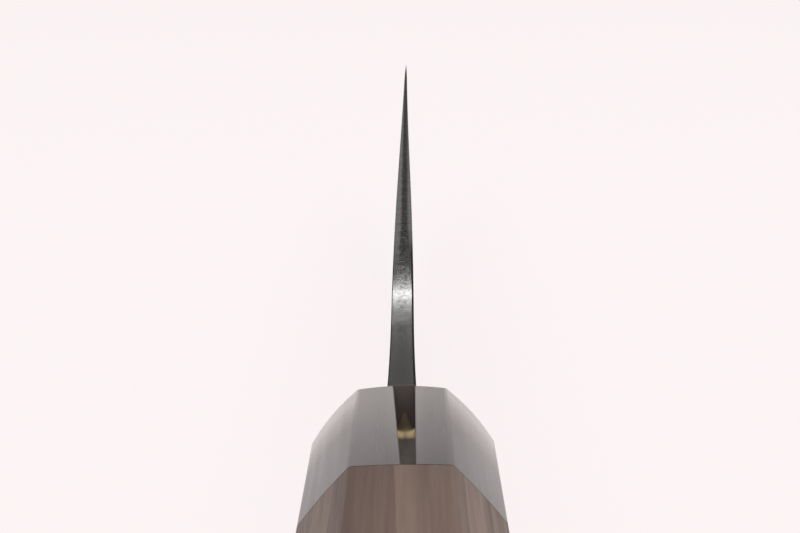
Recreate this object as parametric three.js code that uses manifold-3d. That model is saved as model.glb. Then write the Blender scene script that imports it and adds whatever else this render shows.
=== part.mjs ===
// A gyuto, the Japanese cook's knife: a laminated steel blade on an octagonal wooden handle with a horn ferrule.
// Millimetres. +Y runs from the handle to the tip, +Z from the edge to the spine, +X to the right of the spine.
// The pieces are drawn about the handle's axis with y = 0 on the ferrule's front face. The finished knife is then
// lifted until its edge stands on z = 0, and slid along until its length is centred on y = 0.
import * as THREE from "three";
import { mergeVertices } from "three/addons/utils/BufferGeometryUtils.js";
import Module from "manifold-3d";

// Blade, side view: lengths run from the ferrule's front face towards the tip
const BLADE_REACH = 255;
const HEEL_DISTANCE = 14;
const BLADE_HEIGHT = 49; // spine to edge at the heel
const SPINE_ABOVE_FERRULE = 0.3;
const TIP_DROP = 12; // fall of the spine from neck to tip
const SPINE_CURVE = 2.2; // power that the spine falls by
const BELLY_START = 55; // the edge is straight up to here
const BELLY_CURVE = 3.2; // power that the edge rises by
const NECK_HEIGHT = 18.5;
const CHOIL_RADIUS = 9;
const CHOIL_LEAN = 2; // how far the top of the choil stands ahead of the heel's corner

// Blade, thickness
const NECK_THICKNESS = 3.18;
const SPINE_THICKNESS = 2.82;
const NECK_FLARE = 22; // length over which the neck thins to the spine's thickness
const FLARE_CURVE = 2.2;
const TAPER_START = 27; // the spine keeps its thickness up to here, then tapers to the tip
const TAPER_SHOULDER = 67; // length of the soft shoulder where the taper sets in
const TAPER_KNEE = 80; // distance into the taper at which the fall bends towards the tip
const KNEE_THICKNESS = 1.13; // thickness that the fall aims at there
const TIP_THICKNESS = 0.41;
const GRIND_CURVE = 1.9; // power of the convex grind, from spine to edge
const NECK_GRIND_CURVE = 4; // flatter at the neck
const GRIND_RUNOUT = 30; // length over which the flat neck runs out into the grind
const SPINE_EASE = 0.3; // eased corners of the spine
const EDGE_BEVEL_HEIGHT = 0.9;
const EDGE_BEVEL_THICKNESS = 0.24; // thickness of the grind where it meets the edge
const EDGE_LAND = 0.04;

// Lamination: the hard core lies between two soft layers, which the grind lays bare along the edge
const LAMINATION_HEIGHT = 9; // how far above the edge the core shows
const CLADDING_END_HEIGHT = 15; // the soft layers end where the blade is no taller than this

// Tang, stepped in from the neck on all four sides
const TANG_LENGTH = 96;
const TANG_STEP = 7; // its top lies this far below the spine
const TANG_HEIGHT = 11.2;
const TANG_THICKNESS = 1.9;
const TANG_END_HEIGHT = 5;
const TANG_END_THICKNESS = 1.4;

// Handle: an octagon that tapers from butt to front
const HANDLE_LENGTH = 140;
const FERRULE_LENGTH = 20;
const FRONT_WIDTH = 20.4;
const FRONT_HEIGHT = 23.8;
const FRONT_TOP_FLAT = 9.8;
const FRONT_SIDE_FLAT = 10.8;
const BUTT_WIDTH = 24.8;
const BUTT_HEIGHT = 27.2;
const BUTT_TOP_FLAT = 12.6;
const BUTT_SIDE_FLAT = 13.8;
const FACET_EASE = 0.5; // softened corners between the facets
const FRONT_RIM = 0.6; // chamfer round the ferrule's front face
const BUTT_RIM = 1; // chamfer round the butt

// Dowel that joins ferrule and handle, and the slot that takes the tang
const DOWEL_DIAMETER = 11;
const DOWEL_IN_FERRULE = 14;
const DOWEL_ROOT = 10; // solid end behind the kerf
const DOWEL_CHAMFER = 0.8;
const SLOT_RIGHT = 1.45; // the right wall runs true, this far from the blade's middle plane
const SLOT_FRONT_WIDTH = 2.4;
const SLOT_BACK_WIDTH = 1.5;
const RESIN_THICKNESS = 0.5;
const RESIN_WALL_RISE = 0.3; // meniscus up the slot's walls
const RESIN_NECK_RISE = 2; // fillet up the back of the neck
const RESIN_NECK_LENGTH = 2.4;

// Fits
const GLUE_LINE = 0.1;
const TANG_CLEARANCE = 0.3;
const DOWEL_CLEARANCE = 0.15;

// Near the tip the small forms of the section are held to these shares of what is left of it
const EASE_LIMIT = 0.3; // of half the thickness
const EASE_HEIGHT_LIMIT = 0.1; // of the height
const BEVEL_LIMIT = 0.2; // of the height
const BEHIND_EDGE_LIMIT = 0.7; // of half the thickness
const LAND_LIMIT = 0.3; // of half the thickness

// Fineness of the surfaces
const NECK_STEPS = 10;
const BODY_STEPS = 34;
const BODY_CLOSING = 1.5; // power that draws the steps together towards the tip
const FACE_STEPS = 12;
const ROUND_STEPS = 40;
const ARC_STEPS = 12;
const RESIN_STEPS_ALONG = 12;
const RESIN_STEPS_ACROSS = 8;
const HALVINGS = 40;
const WELD = 1e-5;

// Places worked out from the sizes above
const SPINE_Z = FRONT_HEIGHT / 2 + SPINE_ABOVE_FERRULE;
const EDGE_Z = SPINE_Z - BLADE_HEIGHT;
const TANG_TOP = SPINE_Z - TANG_STEP;
const TANG_BOTTOM = TANG_TOP - TANG_HEIGHT;
const DOWEL_RADIUS = DOWEL_DIAMETER / 2;
const DOWEL_FRONT = FERRULE_LENGTH - DOWEL_IN_FERRULE;
const KERF_END = TANG_LENGTH + TANG_CLEARANCE;
const DOWEL_END = KERF_END + DOWEL_ROOT;
const TANG_SLOT_WIDTH = TANG_THICKNESS + 2 * TANG_CLEARANCE;
const RESIN_FLOOR = Math.max(TANG_TOP, DOWEL_RADIUS + DOWEL_CLEARANCE) + GLUE_LINE;
const BEYOND = 5; // how far a cutter runs past what it cuts

const wasm = await Module();
wasm.setup();

function mix(a, b, share) {
  return a + (b - a) * share;
}

// The place between low and high where a test stops being true, found by halving.
function lastTrue(test, low, high) {
  let [held, failed] = [low, high];
  for (let step = 0; step < HALVINGS; step++) {
    const half = (held + failed) / 2;
    if (test(half)) held = half;
    else failed = half;
  }
  return held;
}

// A closed geometry as a solid that can be joined and cut.
function solidOf(geometry) {
  geometry.deleteAttribute("normal");
  geometry.deleteAttribute("uv");
  const merged = mergeVertices(geometry, WELD);
  const mesh = new wasm.Mesh({
    numProp: 3,
    vertProperties: new Float32Array(merged.attributes.position.array),
    triVerts: new Uint32Array(merged.index.array),
  });
  return new wasm.Manifold(mesh);
}

// A joined or cut solid as a named mesh.
function pieceOf(name, solid, material) {
  const { vertProperties, triVerts } = solid.getMesh();
  const geometry = new THREE.BufferGeometry();
  geometry.setAttribute("position", new THREE.BufferAttribute(vertProperties, 3));
  geometry.setIndex(new THREE.BufferAttribute(triVerts, 1));
  geometry.computeVertexNormals();
  const mesh = new THREE.Mesh(geometry, material);
  mesh.name = name;
  return mesh;
}

// Rings of equal point counts skinned into one closed solid. The rings run towards +Y and each turns clockwise
// as seen from behind, so that the skin faces out. The ends close on their own middles, or the last on an apex.
function loft(rings, apex) {
  const count = rings[0].length;
  const middle = (ring) => ring.reduce((sum, p) => sum.add(p), new THREE.Vector3()).divideScalar(count);
  const points = [...rings.flat(), middle(rings[0]), apex ?? middle(rings.at(-1))];
  const start = rings.length * count;
  const end = start + 1;
  const faces = [];
  for (let i = 0; i < count; i++) {
    const next = (i + 1) % count;
    for (let r = 0; r + 1 < rings.length; r++) {
      const near = r * count;
      const far = near + count;
      faces.push(near + i, near + next, far + next, near + i, far + next, far + i);
    }
    const last = (rings.length - 1) * count;
    faces.push(start, next, i, end, last + i, last + next);
  }
  const geometry = new THREE.BufferGeometry().setFromPoints(points);
  geometry.setIndex(faces);
  return solidOf(geometry);
}

// A shape drawn in plan (x right, y forward), extruded from one height to another.
function planPrism(points, bottom, top) {
  const shape = new THREE.Shape(points.map(([x, y]) => new THREE.Vector2(x, y)));
  const geometry = new THREE.ExtrudeGeometry(shape, { depth: top - bottom, bevelEnabled: false });
  return solidOf(geometry.translate(0, 0, bottom));
}

// A shape drawn in side view (y forward, z up), extruded evenly to both sides of the blade's middle plane.
function sidePrism(shape, width) {
  const geometry = new THREE.ExtrudeGeometry(shape, { depth: width, bevelEnabled: false, curveSegments: ARC_STEPS });
  geometry.translate(0, 0, -width / 2);
  const sideways = new THREE.Matrix4().makeBasis(
    new THREE.Vector3(0, 1, 0),
    new THREE.Vector3(0, 0, 1),
    new THREE.Vector3(1, 0, 0),
  );
  return solidOf(geometry.applyMatrix4(sideways));
}

// A round bar along the handle's axis, between two distances behind the ferrule's front face.
function bar(radius, front, back, chamfer = 0) {
  const profile = [
    new THREE.Vector2(0, -back),
    new THREE.Vector2(radius - chamfer, -back),
    new THREE.Vector2(radius, -back + chamfer),
    new THREE.Vector2(radius, -front - chamfer),
    new THREE.Vector2(radius - chamfer, -front),
    new THREE.Vector2(0, -front),
  ];
  const outline = profile.filter((p, i) => i === 0 || !p.equals(profile[i - 1]));
  return solidOf(new THREE.LatheGeometry(outline, ROUND_STEPS));
}

function spineHeight(y) {
  return SPINE_Z - TIP_DROP * (y / BLADE_REACH) ** SPINE_CURVE;
}

function edgeHeight(y) {
  const along = Math.max(0, y - BELLY_START) / (BLADE_REACH - BELLY_START);
  return mix(EDGE_Z, SPINE_Z - TIP_DROP, along ** BELLY_CURVE);
}

// Distal taper: full thickness at first, a soft shoulder, then a long fall that eases off towards the tip.
const distalTaper = new THREE.CubicBezierCurve(
  new THREE.Vector2(TAPER_START, SPINE_THICKNESS),
  new THREE.Vector2(TAPER_START + TAPER_SHOULDER, SPINE_THICKNESS),
  new THREE.Vector2(TAPER_START + TAPER_KNEE, KNEE_THICKNESS),
  new THREE.Vector2(BLADE_REACH, TIP_THICKNESS),
);

function spineThickness(y) {
  if (y < TAPER_START) {
    const flare = Math.max(0, 1 - y / NECK_FLARE) ** FLARE_CURVE;
    return mix(SPINE_THICKNESS, NECK_THICKNESS, flare);
  }
  const share = lastTrue((t) => distalTaper.getPoint(t).x < y, 0, 1);
  return distalTaper.getPoint(share).y;
}

function bladeHeight(y) {
  return spineHeight(y) - edgeHeight(y);
}

// The convex grind at one distance: half the blade's thickness at any depth below the spine.
function grindAt(y) {
  const half = spineThickness(y) / 2;
  const behindEdge = Math.min(EDGE_BEVEL_THICKNESS / 2, BEHIND_EDGE_LIMIT * half);
  const flatness = Math.max(0, 1 - y / GRIND_RUNOUT) ** 2;
  const power = mix(GRIND_CURVE, NECK_GRIND_CURVE, flatness);
  return (depth) => mix(half, behindEdge, (depth / bladeHeight(y)) ** power);
}

// Cross-section of the ground blade at one distance: eased spine, convex face, edge bevel, and back up.
function bladeSection(y) {
  const top = spineHeight(y);
  const height = bladeHeight(y);
  const halfAt = grindAt(y);
  const half = halfAt(0);
  const ease = Math.min(SPINE_EASE, EASE_LIMIT * half, EASE_HEIGHT_LIMIT * height);
  const bevel = Math.min(EDGE_BEVEL_HEIGHT, BEVEL_LIMIT * height);
  const land = Math.min(EDGE_LAND / 2, LAND_LIMIT * half);
  const right = [new THREE.Vector3(half - ease, y, top)];
  for (let step = 0; step <= FACE_STEPS; step++) {
    const depth = mix(ease, height - bevel, step / FACE_STEPS);
    right.push(new THREE.Vector3(halfAt(depth), y, top - depth));
  }
  right.push(new THREE.Vector3(land, y, top - height));
  const left = right.map((p) => new THREE.Vector3(-p.x, p.y, p.z)).reverse();
  return [...left, ...right];
}

// Distances along the blade at which its section is drawn.
function bladeStations() {
  const stations = [];
  for (let step = 0; step < NECK_STEPS; step++) {
    stations.push(mix(GLUE_LINE, TAPER_START, step / NECK_STEPS));
  }
  for (let step = 0; step < BODY_STEPS; step++) {
    const closing = 1 - (1 - step / BODY_STEPS) ** BODY_CLOSING;
    stations.push(mix(TAPER_START, BLADE_REACH, closing));
  }
  return stations;
}

// The whole forged and ground blade with its tang, before it is parted into its layers.
function forgedBlade() {
  const apex = new THREE.Vector3(0, BLADE_REACH, SPINE_Z - TIP_DROP);
  const ground = loft(bladeStations().map(bladeSection), apex);

  // The choil: everything below the neck and behind the heel is cut away, round into the neck
  const neckBottom = SPINE_Z - NECK_HEIGHT;
  const choilTop = HEEL_DISTANCE + CHOIL_LEAN;
  const below = EDGE_Z - BEYOND;
  const lean = (CHOIL_LEAN * BEYOND) / (BLADE_HEIGHT - NECK_HEIGHT - CHOIL_RADIUS);
  const choil = new THREE.Shape();
  choil.moveTo(-BEYOND, below);
  choil.lineTo(HEEL_DISTANCE - lean, below);
  choil.lineTo(choilTop, neckBottom - CHOIL_RADIUS);
  choil.absarc(choilTop - CHOIL_RADIUS, neckBottom - CHOIL_RADIUS, CHOIL_RADIUS, 0, Math.PI / 2);
  choil.lineTo(-BEYOND, neckBottom);
  const bladeAlone = ground.subtract(sidePrism(choil, NECK_THICKNESS + BEYOND));

  // The tang: a flat bar that thins in height and thickness, reaching a little into the neck it grows from
  const tangSection = (y) => {
    const share = Math.max(0, -y) / TANG_LENGTH;
    const half = mix(TANG_THICKNESS, TANG_END_THICKNESS, share) / 2;
    const middle = (TANG_TOP + TANG_BOTTOM) / 2;
    const reach = mix(TANG_HEIGHT, TANG_END_HEIGHT, share) / 2;
    return [
      new THREE.Vector3(-half, y, middle - reach),
      new THREE.Vector3(-half, y, middle + reach),
      new THREE.Vector3(half, y, middle + reach),
      new THREE.Vector3(half, y, middle - reach),
    ];
  };
  const tang = loft([-TANG_LENGTH, 0, BEYOND].map(tangSection));
  return bladeAlone.add(tang);
}

// Half the core's thickness: its faces come out of the convex grind at the lamination line. Behind the heel they
// run parallel, into the tang.
function coreHalf(y) {
  const from = Math.max(y, HEEL_DISTANCE);
  return grindAt(from)(bladeHeight(from) - LAMINATION_HEIGHT);
}

// The core's two faces part the blade into three layers. Near the tip the soft layers end and the core is all of it.
function layers() {
  const blade = forgedBlade();
  const outside = NECK_THICKNESS / 2 + BEYOND;
  const back = -TANG_LENGTH - BEYOND;
  const front = BLADE_REACH + BEYOND;
  const end = lastTrue((y) => bladeHeight(y) > CLADDING_END_HEIGHT, HEEL_DISTANCE, BLADE_REACH);
  const along = [back, HEEL_DISTANCE, ...bladeStations().filter((y) => y > HEEL_DISTANCE && y < end), end];
  const face = along.map((y) => [coreHalf(y), y]);
  const mirrored = face.map(([x, y]) => [-x, y]);
  const tip = [[outside, end], [outside, front], [-outside, front], [-outside, end]];
  const part = (plan) => blade.intersect(planPrism(plan, EDGE_Z - BEYOND, SPINE_Z + BEYOND));
  return {
    core: part([...face, ...tip, ...mirrored.toReversed()]),
    right: part([[outside, back], [outside, end], ...face.toReversed()]),
    left: part([[-outside, end], [-outside, back], ...mirrored]),
  };
}

// Cross-section of the handle at one distance behind the front: an octagon with softened corners.
function handleSection(distance, inset = 0) {
  const share = distance / HANDLE_LENGTH;
  const halfWidth = mix(FRONT_WIDTH, BUTT_WIDTH, share) / 2;
  const halfHeight = mix(FRONT_HEIGHT, BUTT_HEIGHT, share) / 2;
  const topFlat = mix(FRONT_TOP_FLAT, BUTT_TOP_FLAT, share) / 2;
  const sideFlat = mix(FRONT_SIDE_FLAT, BUTT_SIDE_FLAT, share) / 2;
  const quarter = [[topFlat, halfHeight], [halfWidth, sideFlat]];
  const corners = [
    ...quarter,
    ...quarter.toReversed().map(([x, z]) => [x, -z]),
    ...quarter.map(([x, z]) => [-x, -z]),
    ...quarter.toReversed().map(([x, z]) => [-x, z]),
  ].map(([x, z]) => new THREE.Vector3(x, -distance, z));
  const shrink = 1 - inset / halfWidth;
  return corners.flatMap((corner, i) => {
    const before = corners.at(i - 1).clone().sub(corner).setLength(FACET_EASE).add(corner);
    const after = corners[(i + 1) % corners.length].clone().sub(corner).setLength(FACET_EASE).add(corner);
    const crown = before.clone().lerp(after, 0.5).lerp(corner, 0.5);
    return [before, crown, after].map((p) => new THREE.Vector3(p.x * shrink, p.y, p.z * shrink));
  });
}

// The ferrule: slotted through its top for the blade, morticed for the tang and bored from behind for the dowel.
function ferruleSolid() {
  const rings = [handleSection(FERRULE_LENGTH), handleSection(FRONT_RIM), handleSection(0, FRONT_RIM)];
  const bore = bar(DOWEL_RADIUS + DOWEL_CLEARANCE, DOWEL_FRONT - DOWEL_CLEARANCE, FERRULE_LENGTH + BEYOND);
  const mortise = planPrism(
    slotPlan(TANG_SLOT_WIDTH / 2, TANG_SLOT_WIDTH, TANG_SLOT_WIDTH, 0, BEYOND),
    TANG_BOTTOM - TANG_CLEARANCE,
    TANG_TOP + TANG_CLEARANCE,
  );
  const slot = planPrism(
    slotPlan(SLOT_RIGHT, SLOT_FRONT_WIDTH, SLOT_BACK_WIDTH, 0, BEYOND),
    TANG_TOP,
    BUTT_HEIGHT,
  );
  return loft(rings).subtract(bore).subtract(mortise).subtract(slot);
}

// Plan of a slot along the ferrule: a straight right wall and a left wall that closes in towards the back.
// A margin draws the plan in from its walls, and an overrun carries it past the ferrule's two ends.
function slotPlan(right, frontWidth, backWidth, margin, overrun) {
  const closing = (frontWidth - backWidth) / FERRULE_LENGTH;
  const leftAt = (distance) => right - frontWidth + closing * distance + margin;
  const front = -overrun;
  const back = FERRULE_LENGTH + overrun;
  return [
    [leftAt(front), -front],
    [leftAt(back), -back],
    [right - margin, -back],
    [right - margin, -front],
  ];
}

// The wooden grip, bored from the front for the dowel.
function gripSolid() {
  const front = FERRULE_LENGTH + GLUE_LINE;
  const rings = [
    handleSection(HANDLE_LENGTH, BUTT_RIM),
    handleSection(HANDLE_LENGTH - BUTT_RIM),
    handleSection(front),
  ];
  const bore = bar(DOWEL_RADIUS + DOWEL_CLEARANCE, front - BEYOND, DOWEL_END + DOWEL_CLEARANCE);
  return loft(rings).subtract(bore);
}

// The dowel, sawn down the middle from its front end so that it forks over the tang.
function dowelSolid() {
  const rod = bar(DOWEL_RADIUS, DOWEL_FRONT, DOWEL_END, DOWEL_CHAMFER);
  const half = TANG_SLOT_WIDTH / 2;
  const kerf = planPrism(
    [[-half, -KERF_END], [half, -KERF_END], [half, BEYOND], [-half, BEYOND]],
    -DOWEL_DIAMETER,
    DOWEL_DIAMETER,
  );
  return rod.subtract(kerf);
}

// The resin that seals the slot over the tang: its top dishes between the walls and climbs the back of the neck.
function resinSolid() {
  const plan = slotPlan(SLOT_RIGHT, SLOT_FRONT_WIDTH, SLOT_BACK_WIDTH, GLUE_LINE, -GLUE_LINE);
  const [[leftFront, front], [leftBack, back], [right]] = plan;
  const rings = [];
  for (let step = RESIN_STEPS_ALONG; step >= 0; step--) {
    const along = (step / RESIN_STEPS_ALONG) ** 2;
    const y = mix(front, back, along);
    const left = mix(leftFront, leftBack, along);
    const climb = Math.max(0, 1 - (front - y) / RESIN_NECK_LENGTH) ** 2;
    const ring = [];
    for (let across = 0; across <= RESIN_STEPS_ACROSS; across++) {
      const share = across / RESIN_STEPS_ACROSS;
      const dish = RESIN_WALL_RISE * (2 * share - 1) ** 2;
      const top = RESIN_FLOOR + RESIN_THICKNESS + dish + RESIN_NECK_RISE * climb;
      ring.push(new THREE.Vector3(mix(left, right, share), y, top));
    }
    rings.push([...ring, new THREE.Vector3(right, y, RESIN_FLOOR), new THREE.Vector3(left, y, RESIN_FLOOR)]);
  }
  return loft(rings);
}

function finish(color, roughness, metalness) {
  return new THREE.MeshStandardMaterial({ color, roughness, metalness });
}

const { core, left, right } = layers();
const knife = new THREE.Group();
knife.name = "gyuto_knife";
knife.add(
  pieceOf("core_steel", core, finish(0x6f716d, 0.3, 1)),
  pieceOf("cladding_left", left, finish(0x8b8c88, 0.36, 1)),
  pieceOf("cladding_right", right, finish(0x8b8c88, 0.36, 1)),
  pieceOf("ferrule", ferruleSolid(), finish(0x6b6665, 0.35, 0)),
  pieceOf("handle_grip", gripSolid(), finish(0x6e574a, 0.5, 0)),
  pieceOf("dowel", dowelSolid(), finish(0xc2a06e, 0.7, 0)),
  pieceOf("slot_resin", resinSolid(), finish(0x5b431f, 0.15, 0)),
);
knife.position.set(0, (HANDLE_LENGTH - BLADE_REACH) / 2, -EDGE_Z);

export default knife;
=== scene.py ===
import math

import bmesh
import bpy
import numpy as np
from mathutils import Matrix, Vector


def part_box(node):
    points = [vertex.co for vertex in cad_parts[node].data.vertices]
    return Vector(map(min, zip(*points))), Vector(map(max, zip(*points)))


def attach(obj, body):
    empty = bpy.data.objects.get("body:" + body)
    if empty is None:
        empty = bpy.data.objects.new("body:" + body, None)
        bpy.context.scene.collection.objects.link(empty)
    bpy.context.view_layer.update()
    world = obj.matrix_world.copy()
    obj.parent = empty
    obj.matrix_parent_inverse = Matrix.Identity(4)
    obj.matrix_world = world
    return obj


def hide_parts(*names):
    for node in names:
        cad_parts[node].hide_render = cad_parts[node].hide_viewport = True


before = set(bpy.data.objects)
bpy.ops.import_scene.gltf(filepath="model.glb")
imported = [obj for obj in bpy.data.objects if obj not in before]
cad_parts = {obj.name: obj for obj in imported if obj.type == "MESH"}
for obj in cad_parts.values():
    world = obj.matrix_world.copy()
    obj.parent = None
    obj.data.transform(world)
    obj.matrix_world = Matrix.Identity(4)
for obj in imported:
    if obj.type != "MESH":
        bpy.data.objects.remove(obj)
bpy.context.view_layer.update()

# Blade core: the hard steel plate in the middle of the laminated blade, forge welded between two soft
# layers. It is the cutting edge and the middle of the spine, and its tang is bedded in the handle in resin.
# Sizes are in millimetres, along the blade from the ferrule's front and up from the handle's axis.
MM = 0.001
core_low, core_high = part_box("core_steel")
ferrule_low, ferrule_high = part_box("ferrule")
FERRULE_FRONT = ferrule_high.y / MM
HANDLE_AXIS = (ferrule_low.z + ferrule_high.z) / 2 / MM
REACH = core_high.y / MM - FERRULE_FRONT
SPINE = core_high.z / MM - HANDLE_AXIS
EDGE = core_low.z / MM - HANDLE_AXIS
TANG_END = core_low.y / MM - FERRULE_FRONT
TIP_DROP, SPINE_CURVE = 12.0, 2.2
BELLY_START, BELLY_CURVE = 55.0, 3.2
HEEL, CHOIL_LEAN, CHOIL_RADIUS, NECK_HEIGHT = 14.0, 2.0, 9.0, 18.5
CHOIL_FOOT = HEEL + CHOIL_LEAN
NECK_BACK, NECK_THICKNESS, NECK_FLARE, FLARE_CURVE = 0.1, 3.18, 22.0, 2.2
SPINE_THICKNESS, TAPER_START, TAPER_SHOULDER = 2.82, 27.0, 67.0
TAPER_KNEE, KNEE_THICKNESS, TIP_THICKNESS, TAPER_SAMPLES = 80.0, 1.13, 0.41, 200
POINT_LENGTH, POINT_SHARE, POINT_RADIUS = 42.0, 0.14, 1.0
SPINE_FALL, FALL_START, FALL_FULL, SPINE_FLAT = math.radians(22), 35.0, 72.0, 0.1
GRIND_CURVE, NECK_GRIND_CURVE, GRIND_RUNOUT, LEAST_HEIGHT = 1.9, 4.0, 30.0, 0.000001
EDGE_BEVEL_HEIGHT, BEVEL_HEIGHT_SHARE = 0.9, 0.2
EDGE_BEVEL_THICKNESS, BEVEL_THICKNESS_SHARE = 0.24, 0.7
LAMINATION_HEIGHT, LAMINATION_WAVE, WAVE_LENGTH = 9.0, 0.45, 27.0
SECOND_WAVE_SHARE, SECOND_WAVE_PACE = 0.6, 2.3
LAYER_LEAST, LAYER_SLANT = 0.2, 2.0
TANG_STEP, TANG_HEIGHT, TANG_END_HEIGHT = 7.0, 11.2, 5.0
TANG_THICKNESS, TANG_END_THICKNESS = 1.9, 1.4
WELD_DISTANCE, SHARP_ANGLE = 0.00005, math.radians(32)


def slab(name, upper, lower, marks, wrap=False, caps=(True, True)):
    """A closed mesh between two grids of points, in millimetres from the ferrule's front on the handle's
    axis. Both grids are skinned with quads and joined along their borders. Points that fall together are
    welded, so a border where the grids meet closes by itself. marks are values on the points, for the
    finish to read."""
    rows, count = upper.shape[:2]
    index = np.arange(2 * rows * count).reshape(2, rows, count)
    if wrap:
        index = np.concatenate([index, index[:, :, :1]], 2)
    top, bottom = index
    sheets = [top, bottom[:, ::-1]]
    if not wrap:
        sheets += [np.stack([bottom[:, 0], top[:, 0]], 1), np.stack([top[:, -1], bottom[:, -1]], 1)]
    sheets += [np.stack([bottom[0], top[0]])] if caps[0] else []
    sheets += [np.stack([top[-1], bottom[-1]])] if caps[1] else []
    quads = [np.stack([s[:-1, :-1], s[:-1, 1:], s[1:, 1:], s[1:, :-1]], -1).reshape(-1, 4) for s in sheets]
    places = np.concatenate([upper.reshape(-1, 3), lower.reshape(-1, 3)]) + (0.0, FERRULE_FRONT, HANDLE_AXIS)
    mesh = bpy.data.meshes.new(name)
    mesh.from_pydata((places * MM).tolist(), [], np.concatenate(quads).tolist())
    for mark, sides in marks.items():
        values = np.concatenate([np.broadcast_to(side, (rows, count)).ravel() for side in sides])
        mesh.attributes.new(mark, "FLOAT", "POINT").data.foreach_set("value", values.astype(np.float32))
    work = bmesh.new()
    work.from_mesh(mesh)
    bmesh.ops.remove_doubles(work, verts=work.verts, dist=WELD_DISTANCE * MM)
    bmesh.ops.delete(work, geom=[e for e in work.edges if not e.link_faces], context="EDGES")
    bmesh.ops.recalc_face_normals(work, faces=work.faces)
    if work.calc_volume(signed=True) < 0:
        bmesh.ops.reverse_faces(work, faces=work.faces)
    work.to_mesh(mesh)
    work.free()
    mesh.polygons.foreach_set("use_smooth", np.ones(len(mesh.polygons), bool))
    mesh.set_sharp_from_angle(angle=SHARP_ANGLE)
    piece = bpy.data.objects.new(name, mesh)
    bpy.context.scene.collection.objects.link(piece)
    return piece


def grid(x, y, z):
    """Three arrays of coordinates as one grid of points."""
    return np.stack(np.broadcast_arrays(x, y, z), -1)


def mixed(start, end, share):
    """From start to end by a share."""
    return start + (end - start) * share


def spine_height(y):
    """Level at the neck, then falling towards the tip by a power of the distance."""
    return SPINE - TIP_DROP * (np.maximum(y, 0) / REACH) ** SPINE_CURVE


def blade_height(y):
    """From the edge, which is straight and then rises by a power to the tip, up to the spine."""
    belly = np.maximum(0, y - BELLY_START) / (REACH - BELLY_START)
    return spine_height(y) - mixed(EDGE, SPINE - TIP_DROP, belly**BELLY_CURVE)


def spine_half(y):
    """Half the spine's thickness: flared at the neck, level, then along a cubic curve of four points to
    the tip. Over the last stretch it also closes on the point by a square."""
    t = np.linspace(0, 1, TAPER_SAMPLES)[:, None]
    weights = np.hstack([(1 - t) ** 3, 3 * t * (1 - t) ** 2, 3 * t**2 * (1 - t), t**3])
    places = weights @ (TAPER_START, TAPER_START + TAPER_SHOULDER, TAPER_START + TAPER_KNEE, REACH)
    sizes = weights @ (SPINE_THICKNESS, SPINE_THICKNESS, KNEE_THICKNESS, TIP_THICKNESS)
    flare = np.maximum(0, 1 - y / NECK_FLARE) ** FLARE_CURVE
    closing = np.maximum(0, 1 - (REACH - y) / POINT_LENGTH) ** 2
    whole = np.interp(y, places, sizes) + (NECK_THICKNESS - SPINE_THICKNESS) * flare
    return whole * mixed(1, POINT_SHARE, closing) / 2


def crown_slope(y):
    """Slope of the spine's surface at its corners: none at the neck, growing ahead of it by an S curve."""
    share = np.clip((y - FALL_START) / (FALL_FULL - FALL_START), 0, 1)
    return math.tan(SPINE_FALL) * share**2 * (3 - 2 * share)


def spine_sink(y, x):
    """Sink of the spine at a distance from its middle: none on a flat strip, then along a parabola."""
    half = spine_half(y)
    aside = np.maximum(0, x / half - SPINE_FLAT)
    return half * crown_slope(y) * aside**2 / (2 * (1 - SPINE_FLAT))


def ground_half(y, depth):
    """Half the thickness at a depth below the spine: a convex power curve from spine to edge, flatter at
    the neck."""
    half = spine_half(y)
    behind_edge = np.minimum(EDGE_BEVEL_THICKNESS / 2, BEVEL_THICKNESS_SHARE * half)
    power = mixed(GRIND_CURVE, NECK_GRIND_CURVE, np.maximum(0, 1 - y / GRIND_RUNOUT) ** 2)
    share = np.clip(depth / np.maximum(blade_height(y), LEAST_HEIGHT), 0, 1)
    return mixed(half, behind_edge, share**power)


def lamination_depth(y):
    """Depth below the spine at which the core comes out of the soft layers: a set height above the edge,
    swayed by two waves of unlike length that start at the heel, as a forged weld is. By the tip it keeps
    to a least share of the blade's height."""
    turn = 2 * math.pi * np.maximum(0, y - CHOIL_FOOT) / WAVE_LENGTH
    sway = LAMINATION_WAVE * (np.sin(turn) + SECOND_WAVE_SHARE * np.sin(SECOND_WAVE_PACE * turn))
    height = blade_height(y)
    return np.maximum(LAYER_LEAST * height, height - LAMINATION_HEIGHT - sway)


def core_half(y):
    """Half the core's thickness: the grind's at the lamination line, and parallel behind the heel."""
    ahead = np.maximum(y, HEEL)
    return ground_half(ahead, lamination_depth(ahead))


def choil_height(y):
    """Underside of the neck: level, then a quarter circle down into the heel."""
    along = np.clip(y - (CHOIL_FOOT - CHOIL_RADIUS), 0, CHOIL_RADIUS)
    return SPINE - NECK_HEIGHT - CHOIL_RADIUS + np.sqrt(CHOIL_RADIUS**2 - along**2)


# The blade's grids have a row for each place along it. Their points count down its side: 0 is the spine,
# 1 the level of the neck's underside, 2 the lamination line, 3 the edge's bevel and 4 the edge.
TANG_COUNT, NECK_COUNT, BODY_COUNT, TIP_COUNT, SEARCH_COUNT = 4, 26, 210, 32, 4000
BAND_POINTS, FIRST_POINT, SIDE_COUNT, GRIND_COUNT, BEVEL_COUNT = 9, 0.008, 28, 14, 2
TANG_ROWS = np.linspace(TANG_END, NECK_BACK, TANG_COUNT)[:, None]
NECK_ROWS = mixed(NECK_BACK, CHOIL_FOOT, np.sin(np.linspace(0, math.pi / 2, NECK_COUNT)))[:, None]
BODY_ROWS = np.linspace(0, 1, BODY_COUNT)[:, None]
TIP_ROWS = np.sin(np.linspace(0, math.pi / 2, TIP_COUNT))[:, None]
SIDE_POINTS = np.append(FIRST_POINT, np.linspace(0, 2, SIDE_COUNT + 1)[1:])
GRIND_POINTS = np.linspace(2, 3, GRIND_COUNT + 1)[1:]
BEVEL_POINTS = np.linspace(3, 4, BEVEL_COUNT + 1)[1:]
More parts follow.
